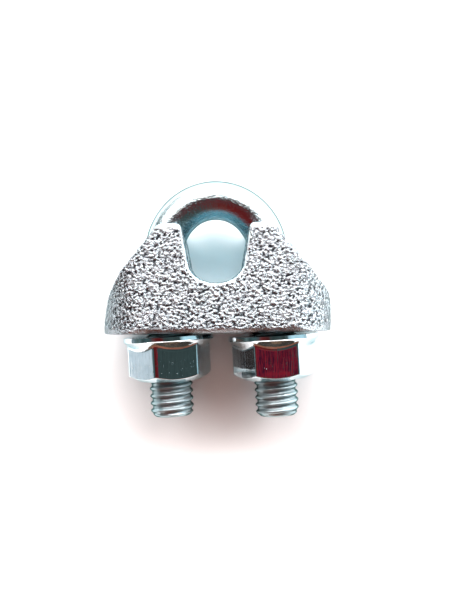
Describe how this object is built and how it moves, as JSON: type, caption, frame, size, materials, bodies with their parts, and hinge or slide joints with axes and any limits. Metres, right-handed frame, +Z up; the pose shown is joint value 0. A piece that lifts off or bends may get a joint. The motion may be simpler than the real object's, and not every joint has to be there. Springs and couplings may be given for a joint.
{
  "type": "wire rope clip",
  "caption": "Wire rope clip: a cast saddle with a rope notch between its horns, a U-bolt through it and a flange nut on each threaded leg.",
  "frame": {"origin": "on the saddle's flat back face, at the middle of the clip's outline seen from above, 4.6 mm over the nut face", "axes": "+X across the two legs, +Y from the nuts to the crown of the U-bolt, +Z along the rope; the clip lies flat on its back face with +Z up"},
  "size_m": [0.0312, 0.0324, 0.013],
  "materials": {
    "zinc_casting": "rough sand-cast malleable iron, bright zinc plated, coarse glittering grain",
    "zinc_wire": "smooth bluish bright zinc plate, rolled threads on the legs",
    "zinc_nut": "glossy bluish bright zinc plate with fine tool marks"
  },
  "bodies": {
    "saddle": {"saddle": "zinc_casting"},
    "u_bolt": {"u_bolt": "zinc_wire"},
    "nut_left": {"nut_left": "zinc_nut"},
    "nut_right": {"nut_right": "zinc_nut"}
  },
  "joints": [
    {"name": "nut_left_turn", "type": "hinge", "parent": "saddle", "child": "nut_left", "pos_m": [-0.00678, -0.00497, 0.0065], "axis": [-0.0393, 0.9992, 0], "range_deg": [-1764, 1044]},
    {"name": "nut_right_turn", "type": "hinge", "parent": "saddle", "child": "nut_right", "pos_m": [0.00764, -0.00506, 0.0065], "axis": [-0.0393, 0.9992, 0], "range_deg": [-1764, 1044]},
    {"name": "u_bolt_slide", "type": "slide", "parent": "saddle", "child": "u_bolt", "axis": [-0.0393, 0.9992, 0], "range_m": [-0.0029, 0.0049]}
  ],
  "couplings": [
    {"joint": "nut_left_turn", "follows": "u_bolt_slide", "rad_per_m": -6283.2},
    {"joint": "nut_right_turn", "follows": "u_bolt_slide", "rad_per_m": -6283.2}
  ]
}
